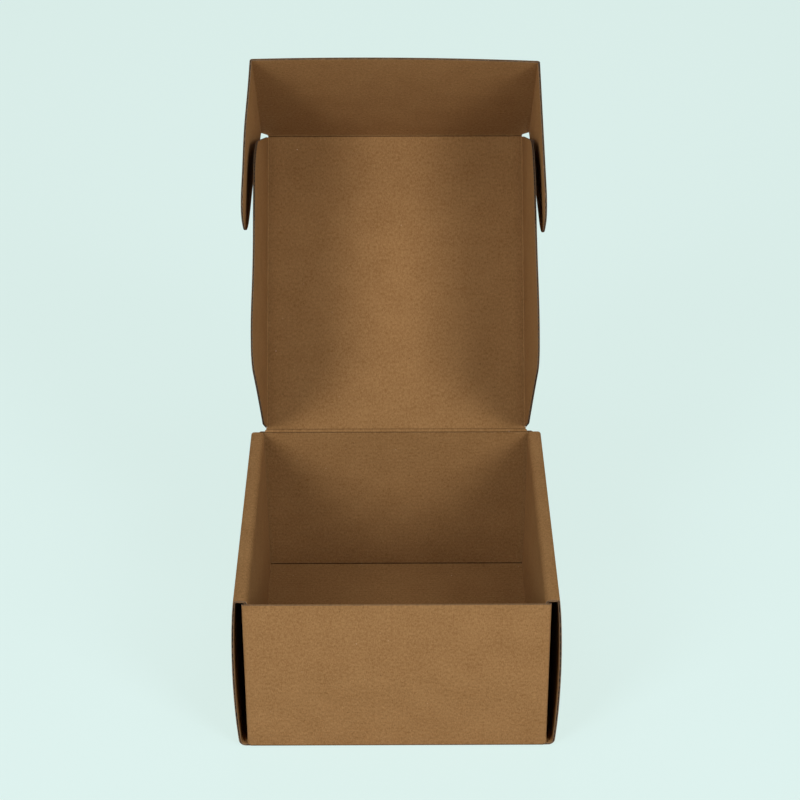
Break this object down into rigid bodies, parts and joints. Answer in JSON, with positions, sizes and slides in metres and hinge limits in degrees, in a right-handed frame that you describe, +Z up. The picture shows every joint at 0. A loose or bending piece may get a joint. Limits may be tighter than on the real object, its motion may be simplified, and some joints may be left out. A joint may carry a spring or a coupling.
{
  "type": "corrugated mailer box",
  "caption": "Square kraft corrugated mailer box, standing open: rolled-over double side walls, and a leaning hinged lid with side wings, a tuck flap and its ears.",
  "frame": {"origin": "middle of the underside of the tray's base, where the box rests", "axes": "+Z up, +X to the right seen from the front wall, +Y from the front wall to the back wall and the lid's hinge"},
  "size_m": [0.2468, 0.3957, 0.438],
  "materials": {
    "kraft_board": "matt uncoated kraft liner"
  },
  "bodies": {
    "tray": {"tray": "kraft_board"},
    "lid": {"lid_panel": "kraft_board"},
    "tuck_flap": {"tuck_flap": "kraft_board"},
    "right_ear": {"right_ear": "kraft_board"},
    "left_ear": {"left_ear": "kraft_board"},
    "right_wing": {"right_wing": "kraft_board"},
    "left_wing": {"left_wing": "kraft_board"}
  },
  "joints": [
    {"name": "lid_hinge", "type": "hinge", "parent": "tray", "child": "lid", "pos_m": [0, 0.1232, 0.134], "axis": [1, 0, 0], "range_deg": [-39, 44]},
    {"name": "tuck_flap_hinge", "type": "hinge", "parent": "lid", "child": "tuck_flap", "pos_m": [0, 0.27009, 0.33753], "axis": [1, 0, 0], "range_deg": [-76.6, 13.4]},
    {"name": "right_ear_hinge", "type": "hinge", "parent": "tuck_flap", "child": "right_ear", "pos_m": [0.1129, 0.27009, 0.33753], "axis": [0, 0.6508, -0.7593], "range_deg": [-87.8, 0]},
    {"name": "left_ear_hinge", "type": "hinge", "parent": "tuck_flap", "child": "left_ear", "pos_m": [-0.1129, 0.27009, 0.33753], "axis": [0, -0.6508, 0.7593], "range_deg": [-87.8, 0]},
    {"name": "right_wing_hinge", "type": "hinge", "parent": "lid", "child": "right_wing", "pos_m": [0.1074, 0.12255, 0.13447], "axis": [0, -0.5878, -0.809], "range_deg": [0, 54]},
    {"name": "left_wing_hinge", "type": "hinge", "parent": "lid", "child": "left_wing", "pos_m": [-0.1074, 0.12255, 0.13447], "axis": [0, 0.5878, 0.809], "range_deg": [0, 54]}
  ]
}
